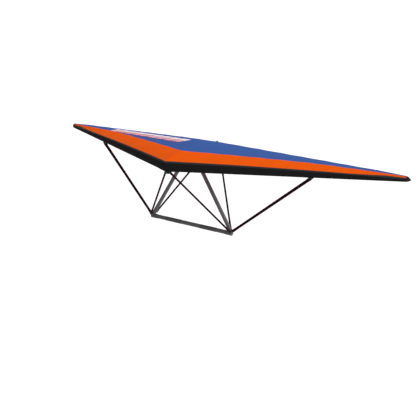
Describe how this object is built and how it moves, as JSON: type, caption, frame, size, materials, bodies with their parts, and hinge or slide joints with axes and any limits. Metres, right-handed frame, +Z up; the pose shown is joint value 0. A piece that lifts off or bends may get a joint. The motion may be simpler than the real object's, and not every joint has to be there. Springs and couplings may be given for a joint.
{
  "type": "hang glider",
  "caption": "Flex-wing hang glider with a swept double-surface sail, a keel and a wire-braced triangular control frame that folds back to the keel, standing parked nose-up.",
  "frame": {"origin": "on the floor, under the middle of the overall box of the parked glider", "axes": "+X to the pilot's left along the span, +Y aft towards the tail, +Z up; the wing is pitched nose-up as it parks"},
  "size_m": [8, 1.9274, 1.76],
  "materials": {
    "orange_cloth": "woven sailcloth, satin",
    "blue_cloth": "woven sailcloth, satin",
    "black_cloth": "coated sailcloth, matte",
    "black_plastic": "moulded, satin",
    "green_tube": "anodised green, satin",
    "pale_alloy": "anodised grey, satin",
    "dark_alloy": "anodised dark grey, satin",
    "steel": "stainless, satin",
    "coated_wire": "dark coating, satin"
  },
  "bodies": {
    "wing": {"keel_tube": "green_tube", "keel_front_cap": "green_tube", "keel_rear_cap": "green_tube", "nose_plate": "steel", "nose_catch": "steel", "rear_stay_bracket": "steel", "keel_pocket": "blue_cloth", "apex_bracket": "dark_alloy", "apex_axle": "steel", "left_leading_edge": "black_cloth", "left_front_panel": "orange_cloth", "left_rear_panel": "blue_cloth", "left_tip_cap": "black_plastic", "left_rear_stay": "coated_wire", "left_side_stay": "coated_wire", "left_side_tang": "steel", "right_leading_edge": "black_cloth", "right_front_panel": "orange_cloth", "right_rear_panel": "blue_cloth", "right_tip_cap": "black_plastic", "right_rear_stay": "coated_wire", "right_side_stay": "coated_wire", "right_side_tang": "steel"},
    "control_frame": {"base_bar": "dark_alloy", "left_knuckle": "dark_alloy", "left_upright": "pale_alloy", "left_corner_bracket": "dark_alloy", "left_front_stay": "coated_wire", "right_knuckle": "dark_alloy", "right_upright": "pale_alloy", "right_corner_bracket": "dark_alloy", "right_front_stay": "coated_wire"}
  },
  "joints": [
    {"name": "control_frame_fold", "type": "hinge", "parent": "wing", "child": "control_frame", "pos_m": [0, 0.15617, 0.90109], "axis": [1, 0, 0], "range_deg": [0, 85]}
  ]
}
